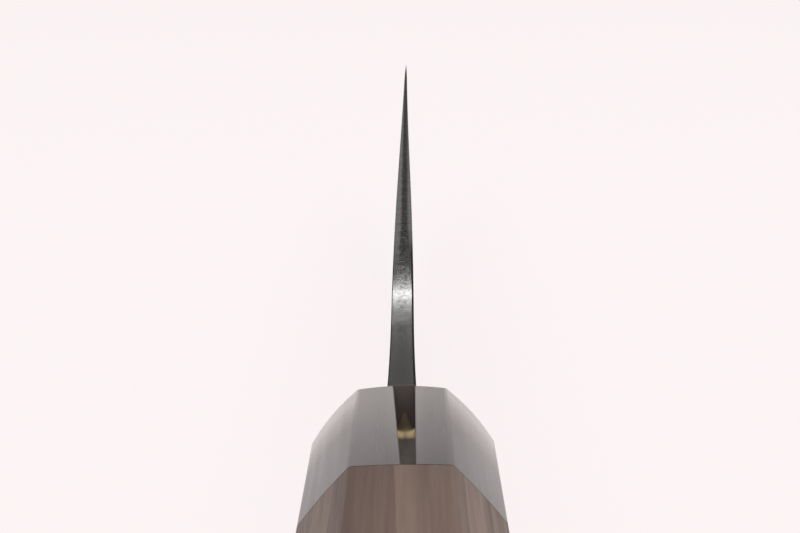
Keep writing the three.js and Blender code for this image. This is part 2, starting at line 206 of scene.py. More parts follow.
NECK_SHARE = (spine_height(CHOIL_FOOT) - choil_height(CHOIL_FOOT)) / lamination_depth(CHOIL_FOOT)
by_tip = np.linspace(BELLY_START, REACH, SEARCH_COUNT)
LAYER_END = by_tip[np.argmax(lamination_depth(by_tip) <= LAYER_LEAST * blade_height(by_tip))]


def side_depth(y, start, place):
    """Depth below the spine of a point on the blade's side, which starts at a depth of its own and runs
    evenly from each counted place to the next."""
    height = blade_height(y)
    lamination = lamination_depth(y)
    bevel = height - np.minimum(EDGE_BEVEL_HEIGHT, BEVEL_HEIGHT_SHARE * height)
    level = np.maximum(NECK_SHARE * lamination, start)
    lamination = np.maximum(lamination, level)
    bevel = np.maximum(bevel, lamination)
    stops = (start, level, lamination, bevel, np.maximum(height, bevel))
    steps = [after - before for before, after in zip(stops, stops[1:])]
    return start + sum(step * np.clip(place - i, 0, 1) for i, step in enumerate(steps))


def layer_end(place):
    """Where the soft layers run out: on a slant from the lamination line forward and up to the spine."""
    return LAYER_END + LAYER_SLANT * (1 - np.clip(place / 2, 0, 1))


def body_places(place):
    """Distance along the blade of each point from the choil, whose straight foot leans back to the heel,
    to the end of the soft layers."""
    level, foot = side_depth(CHOIL_FOOT, 0.0, 1.0), blade_height(CHOIL_FOOT)
    lean = np.maximum(0, side_depth(CHOIL_FOOT, 0.0, place) - level) / (foot - level)
    return mixed(CHOIL_FOOT - CHOIL_LEAN * lean, layer_end(place), BODY_ROWS)


def tang_section():
    """Top, bottom and half thickness of the tang, thinning evenly to its end."""
    share = (NECK_BACK - TANG_ROWS) / (NECK_BACK - TANG_END)
    reach = mixed(TANG_HEIGHT, TANG_END_HEIGHT, share) / 2
    middle = SPINE - TANG_STEP - TANG_HEIGHT / 2
    return middle + reach, middle - reach, mixed(TANG_THICKNESS, TANG_END_THICKNESS, share) / 2


def core_side():
    """Right side of the core from tang end to tip: across half the crowned spine, down the weld to the
    lamination line, then along the grind and the bevel to the edge. Behind the choil its lower points
    cross the underside instead. Ahead of the soft layers it is the whole blade, and its thickness closes
    on the point by a quarter ellipse. Also gives which points are on the spine."""
    place = np.concatenate([np.zeros(BAND_POINTS), SIDE_POINTS, GRIND_POINTS, BEVEL_POINTS])
    across = np.clip(np.arange(len(place)) / (BAND_POINTS - 1), 0, 1)
    down, under = np.clip(place, 0, 1), np.clip(place - 1, 0, 1)
    top, bottom, half = tang_section()
    inside = np.minimum(core_half(TANG_ROWS), half)
    tang = grid(inside * across * (1 - under), TANG_ROWS, mixed(top, bottom, down))
    top, bottom = spine_height(NECK_ROWS), choil_height(NECK_ROWS)
    rows = [tang, grid(core_half(NECK_ROWS) * across * (1 - under), NECK_ROWS, mixed(top, bottom, down))]
    tip_places = mixed(layer_end(place), REACH, TIP_ROWS)
    for y, kept_half in ((body_places(place), core_half), (tip_places, spine_half)):
        point = np.sqrt(1 - np.clip(1 - (REACH - y) / POINT_RADIUS, 0, 1) ** 2)
        half = np.minimum(np.where(across < 1, core_half(y), kept_half(y)), spine_half(y))
        start = spine_sink(y, half * across) * point
        depth = side_depth(y, start, place)
        half = np.minimum(half, ground_half(y, np.minimum(depth, side_depth(y, start, 3.0))))
        x = half * point * across * (1 - np.clip(place - 3, 0, 1))
        rows.append(grid(x, y, spine_height(y) - depth))
    return np.concatenate(rows), np.where(place > 0, 0.0, 1.0)


# A noise is given by its waves per metre along each axis, its detail and its roughness. A spread is the
# part of its range over which a finish goes from its first value to its last.
SPINE_GRAIN, CROSS_LINES = ((1700, 900, 1700), 3.0, 0.65), ((130, 1000, 130), 3.0, 0.6)
FACE_LINES, HAZE = ((300, 12, 900), 6.0, 0.72), ((40, 14, 40), 3.0, 0.5)
GRAIN_SHARE, HAZE_SHARE, PLAIN_TONE = 0.62, 0.2, 0.5
DRAWN_START, DRAWN_FULL, DRAWN_LEAST = 13.0, 24.0, 0.12
SPINE_SPREAD, FACE_SPREAD, NOISE_SPREAD = (0.43, 0.57), (0.34, 0.66), (0.3, 0.7)
SCALE_TONES, SCALE_ROUGHNESS = ((0.125, 0.102, 0.092), (0.175, 0.148, 0.135)), (0.6, 0.6, 0.6, 1.0)
SCALE_OVERLAP, SPINE_ROUGHNESS = 0.05, (0.085, 0.1)
LINE_DEPTH, SPINE_DEPTH_SHARE = 0.004, 0.05
OIL_FILM, OIL_ROUGHNESS, STEEL_SPECULAR = 0.42, 0.03, 0.5
# Painted dark reflection along the spine's corners: its colour, the distances over which it grows towards the
# neck, its least share further ahead, and the shares between which it also turns the steel dull.
CORNER_SHADE_COLOUR, CORNER_SHADE_START, CORNER_SHADE_FULL, CORNER_SHADE_LEAST = (0.02, 0.02, 0.019, 1.0), 60.0, 42.0, 0.06
DULL_SHADE_START, DULL_SHADE_FULL = 0.5, 0.9


def finish(name):
    """A procedural material, its node tree and its surface shader."""
    made = bpy.data.materials.new(name)
    made.use_nodes = True
    return made, made.node_tree, made.node_tree.nodes["Principled BSDF"]


def fill(tree, made, inputs):
    """Fills a node's inputs, each with a plain value or with another node's output."""
    for key, value in inputs.items():
        if isinstance(value, bpy.types.NodeSocket):
            tree.links.new(value, made.inputs[key])
        else:
            made.inputs[key].default_value = value


def node(tree, kind, inputs=(), output=0, **settings):
    """Adds a node to a tree, fills its inputs and gives its output."""
    made = tree.nodes.new("ShaderNode" + kind)
    for key, value in settings.items():
        setattr(made, key, value)
    fill(tree, made, dict(inputs))
    return made.outputs[output]


def attribute(tree, name):
    """A value that the mesh carries on its points, and 0 on a mesh without it."""
    return node(tree, "Attribute", output="Fac", attribute_name=name)


def own_place(tree, axis):
    """Place along one of the piece's own axes, in metres."""
    return node(tree, "SeparateXYZ", {0: node(tree, "TexCoord", output="Object")}, axis)


def by_distance(tree, start, end, low, high):
    """From low to high, evenly, between two distances ahead of the ferrule's front."""
    ends = {1: (FERRULE_FRONT + start) * MM, 2: (FERRULE_FRONT + end) * MM, 3: low, 4: high}
    return node(tree, "MapRange", {0: own_place(tree, "Y"), **ends})


def blend(tree, share, first, last):
    """A number that goes from the first to the last by a share."""
    return node(tree, "Mix", {0: share, 2: first, 3: last})


def blend_colour(tree, share, first, last):
    """A colour that goes from the first to the last by a share."""
    return node(tree, "Mix", {0: share, 6: first, 7: last}, 2, data_type="RGBA")


def ramp(tree, share, places, values):
    """A run of colours, or of grey levels, with a value at each place."""
    made = tree.nodes.new("ShaderNodeValToRGB")
    stops = made.color_ramp.elements
    stops[0].position, stops[-1].position = places[0], places[-1]
    for place in places[1:-1]:
        stops.new(place)
    for stop, value in zip(stops, values):
        stop.color = (*(value if isinstance(value, tuple) else (value,) * 3), 1.0)
    fill(tree, made, {"Fac": share})
    return made.outputs["Color"]


def stretched_noise(tree, scale, detail, roughness):
    """Noise on the piece's own coordinates, with a count of waves per metre along each of its axes."""
    place = node(tree, "TexCoord", output="Object")
    fitted = node(tree, "Mapping", {"Vector": place, "Scale": scale})
    return node(tree, "TexNoise", {"Vector": fitted, "Scale": 1.0, "Detail": detail, "Roughness": roughness})


def ground_steel(name, spine_tones, face_tones, face_roughness, shaded_corners):
    """Steel ground on a belt, under a film of oil: short lines across the spine and long ones along the
    faces, drawn as tone, roughness and bump. The tang and the neck's back keep their scale. Where the mesh
    marks the spine's corners, a painted dark reflection is laid on: black, and where strongest also dull and
    without the oil film, most by the neck."""
    made, tree, surface = finish(name)
    spine = attribute(tree, "spine")
    grain = stretched_noise(tree, *SPINE_GRAIN)
    drawn_lines = blend(tree, GRAIN_SHARE, stretched_noise(tree, *CROSS_LINES), grain)
    drawn_share = by_distance(tree, DRAWN_START, DRAWN_FULL, DRAWN_LEAST, 1.0)
    spine_lines = blend(tree, drawn_share, PLAIN_TONE, drawn_lines)
    face_lines = stretched_noise(tree, *FACE_LINES)
    haze = stretched_noise(tree, *HAZE)
    satin_lines = blend(tree, HAZE_SHARE, face_lines, haze)
    spine_steel = ramp(tree, spine_lines, SPINE_SPREAD, spine_tones)
    face_steel = ramp(tree, satin_lines, FACE_SPREAD, face_tones)
    steel = blend_colour(tree, spine, face_steel, spine_steel)
    scale_end = (FERRULE_FRONT + NECK_BACK + SCALE_OVERLAP) * MM
    behind = node(tree, "Math", {0: own_place(tree, "Y"), 1: scale_end}, operation="LESS_THAN")
    dull, specular, film = behind, STEEL_SPECULAR, OIL_FILM
    if shaded_corners:
        # Painted dark reflection: the steel at the marked corners is coloured black. Where the mark is
        # strongest it is also made dull and loses its oil film, most by the neck.
        corner_shade = by_distance(tree, CORNER_SHADE_START, CORNER_SHADE_FULL, CORNER_SHADE_LEAST, 1.0)
        corner_shade = node(tree, "Math", {0: corner_shade, 1: attribute(tree, "corner")}, operation="MULTIPLY")
        steel = blend_colour(tree, node(tree, "MapRange", {0: corner_shade, 2: DULL_SHADE_START}), steel, CORNER_SHADE_COLOUR)
        shade_dullness = node(tree, "MapRange", {0: corner_shade, 1: DULL_SHADE_START, 2: DULL_SHADE_FULL})
        dull = node(tree, "Math", {0: behind, 1: shade_dullness}, operation="MAXIMUM")
        specular = blend(tree, shade_dullness, STEEL_SPECULAR, 0.0)
        film = blend(tree, shade_dullness, OIL_FILM, 0.0)
    scale = ramp(tree, haze, NOISE_SPREAD, SCALE_TONES)
    drawn = ramp(tree, spine_lines, NOISE_SPREAD, SPINE_ROUGHNESS)
    satin = ramp(tree, satin_lines, NOISE_SPREAD, face_roughness)
    shallow = node(tree, "Math", {0: spine_lines, 1: SPINE_DEPTH_SHARE}, operation="MULTIPLY")
    height = blend(tree, spine, face_lines, shallow)
    fill(tree, surface, {
        "Base Color": blend_colour(tree, behind, steel, scale),
        "Metallic": blend(tree, dull, 1.0, 0.0),
        "Roughness": blend_colour(tree, behind, blend_colour(tree, spine, satin, drawn), SCALE_ROUGHNESS),
        "Specular IOR Level": specular,
        "Coat Weight": film,
        "Coat Roughness": OIL_ROUGHNESS,
        "Normal": node(tree, "Bump", {"Height": height, "Strength": 1.0, "Distance": LINE_DEPTH * MM})})
    return made


CORE_SPINE_TONES = (0.28, 0.28, 0.273), (0.66, 0.66, 0.643)
CORE_FACE_TONES, CORE_ROUGHNESS = ((0.5, 0.5, 0.49), (0.62, 0.62, 0.61)), (0.14, 0.28)
side, on_spine = core_side()
blade_core = slab("blade_core", side, side * (-1, 1, 1), {"spine": (on_spine, on_spine)}, caps=(True, False))
bright_steel = ground_steel("ground core steel", CORE_SPINE_TONES, CORE_FACE_TONES, CORE_ROUGHNESS,
                            shaded_corners=False)
blade_core.data.materials.append(bright_steel)
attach(blade_core, "root")
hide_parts("core_steel")

# Cladding: the two layers of soft steel welded to the core, one on each side, and ground down with it until
# the core comes out above the edge. They end in the spine's softened corners, which carry a painted dark
# reflection, strongest by the neck, and are drawn to a hazy satin along the faces.
CORNER_POINTS, SHOULDER_SHARE, CORNER_EASE = 28, 0.75, 0.03
# Width of the painted dark reflection along each corner of the spine, and the blur at its inner edge.
CORNER_SHADE_WIDTH, CORNER_SHADE_BLUR = {"left": 0.13, "right": 0.27}, 0.05
CLADDING_SPINE_TONES = (0.4, 0.4, 0.39), (0.63, 0.63, 0.614)
CLADDING_FACE_TONES, CLADDING_ROUGHNESS = ((0.36, 0.36, 0.352), (0.5, 0.5, 0.488)), (0.3, 0.44)


def rounded_corner(y, turn):
    """Spine outside the core, by a turn from 0 at the weld to 1 at the face: a shoulder that carries on
    the spine's crown, then an arc that meets shoulder and face. Gives the distance from the middle plane
    and the sink below the spine."""
    half = spine_half(y)
    weld = np.minimum(core_half(y), half)
    radius = np.minimum(CORNER_EASE, (half - weld) / 2)
    fall = np.arctan(crown_slope(y))
    shoulder = half - radius + radius * np.sin(fall)
    angle = mixed(fall, math.pi / 2, np.clip((turn - SHOULDER_SHARE) / (1 - SHOULDER_SHARE), 0, 1))
    x = mixed(weld, shoulder, np.clip(turn / SHOULDER_SHARE, 0, 1))
    sink = spine_sink(y, x) + radius * (np.cos(fall) - np.cos(angle))
    return x + radius * (np.sin(angle) - np.sin(fall)), sink


def cladding_sides(shade_width):
    """Outer and inner face of a layer on the right. The outer rounds the spine's corner and follows the grind
    to the lamination line, the inner goes down the weld, and behind the choil both end on the underside. Also
    gives which points are on the spine, and which lie in the strip along its corner that takes the painted
    dark reflection."""
    turn = np.concatenate([np.linspace(0, 1, CORNER_POINTS), np.ones_like(SIDE_POINTS)])
    place = np.concatenate([np.zeros(CORNER_POINTS), SIDE_POINTS])
    down, under = np.clip(place, 0, 1), np.clip(place - 1, 0, 1)
    top, bottom, half = tang_section()
    weld = np.minimum(core_half(TANG_ROWS), half)
    outer = [grid(mixed(weld, half, turn * (1 - under)), TANG_ROWS, mixed(top, bottom, down))]
    inner = [grid(weld, TANG_ROWS, mixed(top, bottom, down))]
    top, bottom, weld = spine_height(NECK_ROWS), choil_height(NECK_ROWS), core_half(NECK_ROWS)
    x, sink = rounded_corner(NECK_ROWS, turn)
    depth = mixed(sink, top - bottom, down)
    from_face = [np.full(outer[0].shape[:2], -shade_width), x - spine_half(NECK_ROWS)]
    face = x + ground_half(NECK_ROWS, depth) - spine_half(NECK_ROWS)
    outer.append(grid(mixed(face, weld, under), NECK_ROWS, top - depth))
    inner.append(grid(weld, NECK_ROWS, mixed(top, bottom, down)))
    y = body_places(place)
    x, sink = rounded_corner(y, turn)
    from_face.append(x - spine_half(y))
    depth = side_depth(y, sink, place)
    weld = np.minimum(core_half(y), spine_half(y))
    face = np.maximum(x + ground_half(y, depth) - spine_half(y), weld)
    outer.append(grid(face, y, spine_height(y) - depth))
    inner.append(grid(weld, y, spine_height(y) - side_depth(y, spine_sink(y, weld), place)))
    # Share of the painted dark reflection: full at the outer corner, fading over the blur at its inner edge,
    # and none off the spine or on the tang.
    corner_shade = np.clip((np.concatenate(from_face) + shade_width) / CORNER_SHADE_BLUR, 0, 1) * (place == 0)
    return np.concatenate(outer), np.concatenate(inner), np.where(place > 0, 0.0, 1.0), corner_shade


hazy_steel = ground_steel("satin cladding steel", CLADDING_SPINE_TONES, CLADDING_FACE_TONES,
                          CLADDING_ROUGHNESS, shaded_corners=True)
for hand, way in (("left", -1), ("right", 1)):
    outer, inner, on_spine, on_shaded_corner = cladding_sides(CORNER_SHADE_WIDTH[hand])
    cladding = slab(f"blade_cladding_{hand}", outer * (way, 1, 1), inner * (way, 1, 1),
                    {"spine": (on_spine, on_spine), "corner": (on_shaded_corner, 0.0)})
    cladding.data.materials.append(hazy_steel)
    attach(cladding, "root")
    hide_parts(f"cladding_{hand}")

# Dowel: a turned hardwood pin, sawn down the middle to fork over the tang and glued into ferrule and
# grip. It is hidden in the finished handle, so the solid stays and takes a plain finish of pale wood with
# a straight grain.
DOWEL_GRAIN, DOWEL_TONES = ((900, 25, 900), 4.0, 0.6), ((0.44, 0.29, 0.15), (0.6, 0.43, 0.25))
DOWEL_ROUGHNESS = 0.75, 0.6
pale_wood, tree, surface = finish("pale dowel wood")
grain = stretched_noise(tree, *DOWEL_GRAIN)
fill(tree, surface, {"Base Color": ramp(tree, grain, NOISE_SPREAD, DOWEL_TONES),
                     "Roughness": ramp(tree, grain, NOISE_SPREAD, DOWEL_ROUGHNESS)})
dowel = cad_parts["dowel"]
dowel.data.materials.clear()
dowel.data.materials.append(pale_wood)

# Ferrule: the octagonal collar of dark grey buffalo horn that takes the blade. It is sawn and filed,
# slotted through its top for the tang and bored from behind for the dowel, then polished flush with the
# wood.
HANDLE_LENGTH, FERRULE_LENGTH = 140.0, 20.0
FRONT_WIDTH, FRONT_HEIGHT, FRONT_TOP_FLAT, FRONT_SIDE_FLAT = 20.4, 23.8, 9.8, 10.8
BUTT_WIDTH, BUTT_HEIGHT, BUTT_TOP_FLAT, BUTT_SIDE_FLAT = 24.8, 27.2, 12.6, 13.8
FACET_EASE, FRONT_CROWN, FACET_CROWN, FRONT_RIM = 0.35, 0.32, 0.12, 0.14
SLOT_RIGHT, SLOT_FRONT_WIDTH, SLOT_BACK_WIDTH, SLOT_LIP = 1.45, 2.4, 1.5, 0.1
MORTISE_HALF, MORTISE_TOP, MORTISE_BOTTOM, MORTISE_LENGTH = 1.25, 5.45, -6.3, 5.85
MORTISE_BREAK, BORE_RADIUS, BORE_STEP, RIM_CLEARANCE = 0.4, 5.65, 0.02, 1.2
RIM_COUNT, MORTISE_COUNT, BORE_COUNT = 6, 7, 16
WALL_POINTS, BORE_POINTS, GROOVE_POINTS, LIP_POINTS = 10, 28, 7, 4
FACETS, BEND_POINTS, FLAT_POINTS = 8, 5, 5
BEND_CREST, LIP_CREST = [0.2, 0.75, 1.0, 0.75, 0.2], [0.8, 0.0, 0.0, 0.0]


def crown(t):
    """Rise of a facet's middle above its corners: domed at the polished front, less from the wood on."""
    return mixed(FRONT_CROWN, FACET_CROWN, np.clip(t / FERRULE_LENGTH, 0, 1))


def octagon(t, inset):
    """Rings of the handle at distances behind the ferrule's front, drawn in by an inset: an octagon whose
    width, height and flats widen evenly to the butt. Each facet is crowned by a parabola, and each corner
    is eased along a quadratic curve. The ring starts at the top right corner and goes round to the
    right."""
    share = t / HANDLE_LENGTH
    fronts = FRONT_WIDTH, FRONT_HEIGHT, FRONT_TOP_FLAT, FRONT_SIDE_FLAT
    butts = BUTT_WIDTH, BUTT_HEIGHT, BUTT_TOP_FLAT, BUTT_SIDE_FLAT
    width, height, top, side = (mixed(front, butt, share) / 2 for front, butt in zip(fronts, butts))
    x = np.hstack([top, width, width, top, -top, -width, -width, -top])
    z = np.hstack([height, side, -side, -height, -height, -side, side, height])
    corner = np.stack([x, z], -1)
    back, on = np.roll(corner, 1, 1) - corner, np.roll(corner, -1, 1) - corner
    before = corner + FACET_EASE * back / np.linalg.norm(back, axis=-1, keepdims=True)
    after = corner + FACET_EASE * on / np.linalg.norm(on, axis=-1, keepdims=True)
    before, corner, after = before[:, :, None], corner[:, :, None], after[:, :, None]
    u = np.linspace(0, 1, BEND_POINTS)[:, None]
    bend = (1 - u) ** 2 * before + 2 * u * (1 - u) * corner + u**2 * after
    u = np.linspace(0, 1, FLAT_POINTS + 2)[1:-1, None]
    outward = np.stack([-on[..., 1], on[..., 0]], -1) / np.linalg.norm(on, axis=-1, keepdims=True)
    rise = 4 * crown(t)[:, :, None, None] * u * (1 - u)
    flat = mixed(after, np.roll(before, -1, 1), u) + rise * outward[:, :, None]
    ring = np.concatenate([bend, flat], 2).reshape(len(share), -1, 2)
    return ring[..., 0] * (1 - inset / width), ring[..., 1] * (1 - inset / height)


def rim_rows(radius, count):
    """Distance from the end and inset of the rows that round a rim over by a quarter circle."""
    angle = np.linspace(0, math.pi / 2, count)
    return radius * (1 - np.cos(angle)), radius * (1 - np.sin(angle))


def slot_left(t):
    """Left wall of the slot, which was filed on a slant and closes in towards the back."""
    return SLOT_RIGHT - mixed(SLOT_FRONT_WIDTH, SLOT_BACK_WIDTH, t / FERRULE_LENGTH)


def ferrule_sides():
    """Outside and inside of the ferrule as two open bands that meet along the slot's lips. The inside
    goes down the slot's right wall, round the mortise in front, or the dowel's bore with the mortise's
    groove behind, and up the left wall."""
    rim_t, rim_inset = rim_rows(FRONT_RIM, RIM_COUNT)
    mortise_t = np.linspace(RIM_CLEARANCE, MORTISE_LENGTH, MORTISE_COUNT)
    bore_t = np.linspace(MORTISE_LENGTH + BORE_STEP, FERRULE_LENGTH, BORE_COUNT)
    t = np.concatenate([rim_t, mortise_t, bore_t])[:, None]
    inset = np.zeros_like(t)
    inset[:RIM_COUNT, 0] = rim_inset
    x, z = octagon(t, inset)
    x, z = x[:, :-FLAT_POINTS], z[:, :-FLAT_POINTS]
    left = slot_left(t)
    step = np.linspace(0, 1, LIP_POINTS + 1)[:-1]
    right_top = mixed(SLOT_RIGHT + SLOT_LIP, x[:, :1], step)
    left_top = mixed(left - SLOT_LIP, x[:, -1:], step)[:, ::-1]
    outer_x = np.hstack([right_top, x, left_top])
    right_top, left_top = (z[:, :1] + crown(t) * (1 - (at / x[:, :1]) ** 2) for at in (right_top, left_top))
    outer_z = np.hstack([right_top, z, left_top])
    lip = right_top[:, :1] - SLOT_LIP
    in_front = t <= MORTISE_LENGTH
    step = np.linspace(0, 1, BORE_POINTS)
    groove_turn = math.pi - math.asin(MORTISE_HALF / BORE_RADIUS)
    right_turn = mixed(math.asin(SLOT_RIGHT / BORE_RADIUS), groove_turn, step) + 0 * t
    left_turn = mixed(-groove_turn, np.arcsin(left / BORE_RADIUS), step)
    mortise_z = mixed(MORTISE_TOP - MORTISE_BREAK, BORE_RADIUS * math.cos(groove_turn), step)
    groove = mixed(MORTISE_HALF, -MORTISE_HALF, np.linspace(0, 1, GROOVE_POINTS)) + 0 * t
    right_x = np.where(in_front, MORTISE_HALF, BORE_RADIUS * np.sin(right_turn))
    right_z = np.where(in_front, mortise_z, BORE_RADIUS * np.cos(right_turn))
    left_x = np.where(in_front, -MORTISE_HALF, BORE_RADIUS * np.sin(left_turn))
    left_z = np.where(in_front, mortise_z[::-1], BORE_RADIUS * np.cos(left_turn))
    step = np.linspace(0, 1, WALL_POINTS)
    right_wall = mixed(lip, np.where(in_front, MORTISE_TOP, right_z[:, :1]), step)
    left_wall = mixed(np.where(in_front, MORTISE_TOP, left_z[:, -1:]), lip, step)
    inner_x = np.hstack([SLOT_RIGHT + 0 * t * step, right_x, groove, left_x, left + 0 * step])
    inner_z = np.hstack([right_wall, right_z, MORTISE_BOTTOM + 0 * groove, left_z, left_wall])
    return grid(outer_x, -t, outer_z), grid(inner_x, -t, inner_z)


CREST = np.tile(BEND_CREST + [0.0] * FLAT_POINTS, FACETS)
ferrule_crest = np.concatenate([LIP_CREST, CREST[:-FLAT_POINTS], LIP_CREST[::-1]])
bend_rise = np.linspace(0, 1, BEND_POINTS)
top_chamfer = np.concatenate([bend_rise, np.ones(FLAT_POINTS), bend_rise[::-1]])
right_chamfer = np.zeros(len(ferrule_crest))
right_chamfer[LIP_POINTS:LIP_POINTS + len(top_chamfer)] = top_chamfer
outside, inside = ferrule_sides()
horn_ferrule = slab("horn_ferrule", outside, inside, {
    "crest": (ferrule_crest, 0.0), "chamfer": (np.maximum(right_chamfer, right_chamfer[::-1]), 0.0)})

HORN_STREAK, HORN_CLOUD = ((190, 14, 190), 3.0, 0.5), ((75, 40, 75), 3.0, 0.5)
HORN_FIBRE, FIBRE_STRENGTH, FIBRE_DEPTH = ((1300, 40, 1300), 3.0, 0.5), 0.12, 0.004
# Painted sheen on the horn: its tone at the back and at the front of the ferrule. Painted highlight on the
# top chamfers: how much paler they grow at the front, and over what length.
BACK_SHEEN_TONE, FRONT_SHEEN_TONE = 0.22, 0.54
CHAMFER_HIGHLIGHT, CHAMFER_HIGHLIGHT_FADE = 0.42, 9.0
STREAK_AMOUNT, CLOUD_AMOUNT, HORN_CREST_AMOUNT = 0.22, 0.14, 0.06
HORN_PLACES = 0.3, 0.55, 0.85, 1.0
HORN_TONES = (0.095, 0.088, 0.086), (0.175, 0.162, 0.159), (0.32, 0.297, 0.292), (0.46, 0.43, 0.425)
HORN_ROUGHNESS, HORN_SPECULAR = (0.25, 0.33), 0.25


def added(tree, tone, layer, amount):
    """A tone with an amount of another layer added to it."""
    return node(tree, "Math", {0: layer, 1: amount, 2: tone}, operation="MULTIPLY_ADD")


horn, tree, surface = finish("polished dark horn")
fibre = stretched_noise(tree, *HORN_FIBRE)
# Painted sheen and highlight: the horn is painted paler towards the front, and its top chamfers paler still
# over the front few millimetres.
front_highlight = by_distance(tree, -CHAMFER_HIGHLIGHT_FADE, 0.0, 0.0, CHAMFER_HIGHLIGHT)
tone = by_distance(tree, -FERRULE_LENGTH, 0.0, BACK_SHEEN_TONE, FRONT_SHEEN_TONE)
tone = added(tree, tone, stretched_noise(tree, *HORN_STREAK), STREAK_AMOUNT)
tone = added(tree, tone, stretched_noise(tree, *HORN_CLOUD), CLOUD_AMOUNT)
# The eased corners between the facets are drawn a little lighter.
tone = added(tree, tone, attribute(tree, "crest"), HORN_CREST_AMOUNT)
tone = added(tree, tone, attribute(tree, "chamfer"), front_highlight)
relief = {"Height": fibre, "Strength": FIBRE_STRENGTH, "Distance": FIBRE_DEPTH * MM}
fill(tree, surface, {"Base Color": ramp(tree, tone, HORN_PLACES, HORN_TONES),
                     "Roughness": ramp(tree, fibre, NOISE_SPREAD, HORN_ROUGHNESS),
                     "Specular IOR Level": HORN_SPECULAR,
                     "Normal": node(tree, "Bump", relief)})
horn_ferrule.data.materials.append(horn)
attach(horn_ferrule, "root")
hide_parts("ferrule")

# Bedding resin: the amber resin run into the slot over the tang. It set with its face drawn up along the
# slot's walls and in a fillet against the back of the blade's neck. A painted golden glint lies across the
# fillet and up the tongue; the rest of the resin keeps a plain dark tone.
RESIN_FLOOR, RESIN_TOP, RESIN_BACK, RESIN_PLAY = 5.75, 6.25, 19.8, 0.02
WALL_RISE, WALL_REACH = 0.14, 0.25
FILLET_RISE, FILLET_REACH, FILLET_EASE = 0.64, 1.15, 0.2
TONGUE_RISE, TONGUE_REACH, TONGUE_HALF = 2.4, 0.14, 0.55
TONGUE_END, FILLET_START, FILLET_END, LEVEL_START = 0.6, 0.7, 3.0, 3.3
TONGUE_COUNT, FILLET_COUNT, LEVEL_COUNT, ACROSS_POINTS = 24, 24, 20, 33
# Where the painted golden glint lies: a band across the fillet behind the neck, with a dip in its middle, and
# a lesser share on the tongue.
GLINT_START, GLINT_RUN_IN, GLINT_END, GLINT_RUN_OUT = 0.1, 0.15, 1.45, 0.4
GLINT_DIP, DIP_HALF, TONGUE_GLINT, TONGUE_GLINT_RISE = 0.45, 0.22, 0.52, 0.3
RESIN_CLOUD = (700, 500, 700), 3.0, 0.6
# Tones of the plain resin and of the painted golden glint, which is also made partly metallic so that the
# reflection there turns gold.
PLAIN_RESIN_TONES, GLINT_TONES = ((0.11, 0.096, 0.085), (0.18, 0.16, 0.14)), ((0.4, 0.29, 0.15), (0.56, 0.42, 0.24))
GLINT_METALLIC, RESIN_ROUGHNESS = 0.55, (0.4, 0.5)


def resin_faces():
    """Top and bottom of the resin. The top is level, with a rise that dies away from each wall, a straight
    fillet against the neck that eases out into the level, and a narrow tongue drawn up the middle of the
    neck's back. Also gives the share of the painted golden glint at each point: most in a band across the
    fillet, less in its middle and on the tongue."""
    tongue_t = np.linspace(RESIN_PLAY - NECK_BACK, TONGUE_END, TONGUE_COUNT)
    fillet_t = np.linspace(FILLET_START, FILLET_END, FILLET_COUNT)
    level_t = np.linspace(LEVEL_START, RESIN_BACK, LEVEL_COUNT)
    t = np.concatenate([tongue_t, fillet_t, level_t])[:, None]
    left, right = slot_left(t) + RESIN_PLAY, SLOT_RIGHT - RESIN_PLAY
    x = mixed(left, right, 0.5 - 0.5 * np.cos(np.linspace(0, math.pi, ACROSS_POINTS)))
    walls = WALL_RISE * (np.exp((left - x) / WALL_REACH) + np.exp((x - right) / WALL_REACH))
    behind = t + NECK_BACK
    slope = 1 - behind / FILLET_REACH
    fillet = FILLET_RISE * (slope + np.sqrt(slope**2 + FILLET_EASE**2)) / 2
    aside = x - (left + right) / 2
    tongue = TONGUE_RISE * np.exp(-behind / TONGUE_REACH) * np.exp(-((aside / TONGUE_HALF) ** 2))
    painted_glint = np.clip((behind - GLINT_START) / GLINT_RUN_IN, 0, 1)
    painted_glint = painted_glint * np.clip((GLINT_END - behind) / GLINT_RUN_OUT, 0, 1)
    painted_glint = painted_glint * (1 - GLINT_DIP * np.exp(-((aside / DIP_HALF) ** 2)))
    painted_glint = np.maximum(painted_glint, TONGUE_GLINT * np.clip(tongue / TONGUE_GLINT_RISE, 0, 1))
    return grid(x, -t, RESIN_TOP + walls + fillet + tongue), grid(x, -t, RESIN_FLOOR), painted_glint


over, below, glint_share = resin_faces()
bedding_resin = slab("bedding_resin", over, below, {"painted_glint": (glint_share, 0.0)})
amber, tree, surface = finish("amber bedding resin")
cloud = stretched_noise(tree, *RESIN_CLOUD)
# Painted golden glint: across the fillet the resin takes a bright amber tone and is made partly metallic;
# elsewhere it keeps the plain dark tone.
painted_glint = attribute(tree, "painted_glint")
plain_resin = ramp(tree, cloud, NOISE_SPREAD, PLAIN_RESIN_TONES)
clear = ramp(tree, cloud, NOISE_SPREAD, GLINT_TONES)
fill(tree, surface, {"Base Color": blend_colour(tree, painted_glint, plain_resin, clear),
                     "Metallic": blend(tree, painted_glint, 0.0, GLINT_METALLIC),
                     "Roughness": ramp(tree, cloud, NOISE_SPREAD, RESIN_ROUGHNESS)})
bedding_resin.data.materials.append(amber)
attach(bedding_resin, "root")
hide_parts("slot_resin")

# Grip: one piece of oiled walnut with its grain along the handle, planed to an octagon that swells to the
# butt. A blind hole takes the dowel, and the front is glued flush to the horn.
GRIP_GAP, FRONT_BREAK, BUTT_RIM, BUTT_DOME, BORE_END = 0.04, 0.08, 1.4, 0.5, 106.3
GRIP_FRONT = FERRULE_LENGTH + GRIP_GAP
LENGTH_COUNT, BUTT_RIM_COUNT, DOME_COUNT, END_GAIN = 40, 8, 8, 1.2


